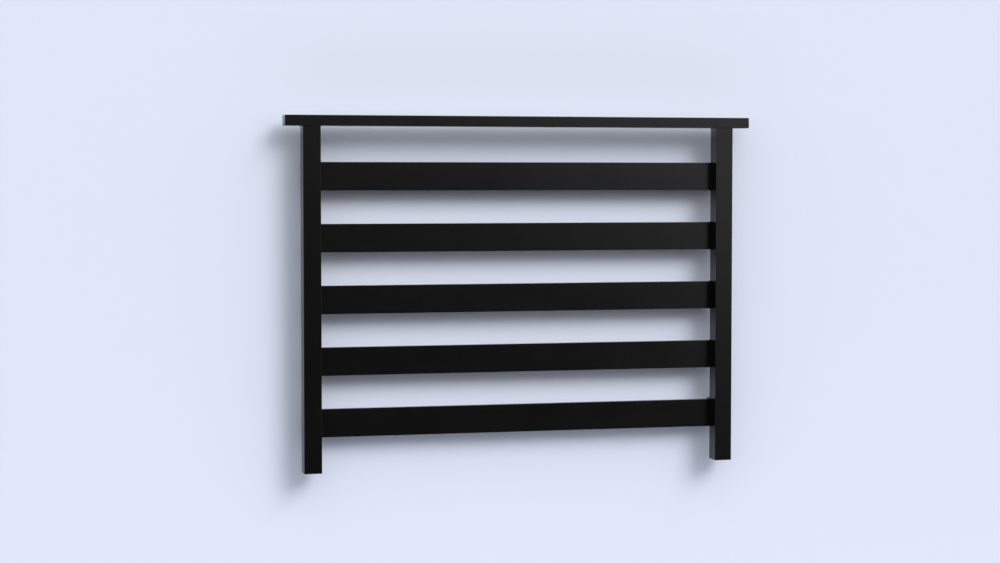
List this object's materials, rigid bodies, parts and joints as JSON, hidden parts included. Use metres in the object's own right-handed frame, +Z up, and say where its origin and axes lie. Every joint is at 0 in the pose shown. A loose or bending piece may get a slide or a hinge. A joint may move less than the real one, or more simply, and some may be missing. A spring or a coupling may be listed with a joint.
{
  "type": "juliet balcony",
  "caption": "Flat-slatted juliet balcony in satin black: square posts, flat handrail, horizontal slats, held off the wall on plug-on brackets.",
  "frame": {"origin": "middle of the lower left wall plate's face against the wall", "axes": "+X to the right along the wall seen from outside, +Y into the wall, +Z up"},
  "size_m": [1.36, 0.09, 1],
  "materials": {
    "powder_coat": "satin black powder coat, on aluminium tube and on steel wall plates",
    "stainless_steel": "turned"
  },
  "bodies": {
    "root": {"handrail": "powder_coat", "handrail_cap_left": "powder_coat", "handrail_cap_right": "powder_coat", "post_left": "powder_coat", "post_right": "powder_coat", "post_foot_cap_left": "powder_coat", "post_foot_cap_right": "powder_coat", "slat_1": "powder_coat", "slat_2": "powder_coat", "slat_3": "powder_coat", "slat_4": "powder_coat", "slat_5": "powder_coat", "sleeve_upper_left": "powder_coat", "spigot_upper_left": "stainless_steel", "wall_plate_upper_left": "powder_coat", "sleeve_upper_right": "powder_coat", "spigot_upper_right": "stainless_steel", "wall_plate_upper_right": "powder_coat", "sleeve_lower_left": "powder_coat", "spigot_lower_left": "stainless_steel", "wall_plate_lower_left": "powder_coat", "sleeve_lower_right": "powder_coat", "spigot_lower_right": "stainless_steel", "wall_plate_lower_right": "powder_coat"}
  },
  "joints": []
}
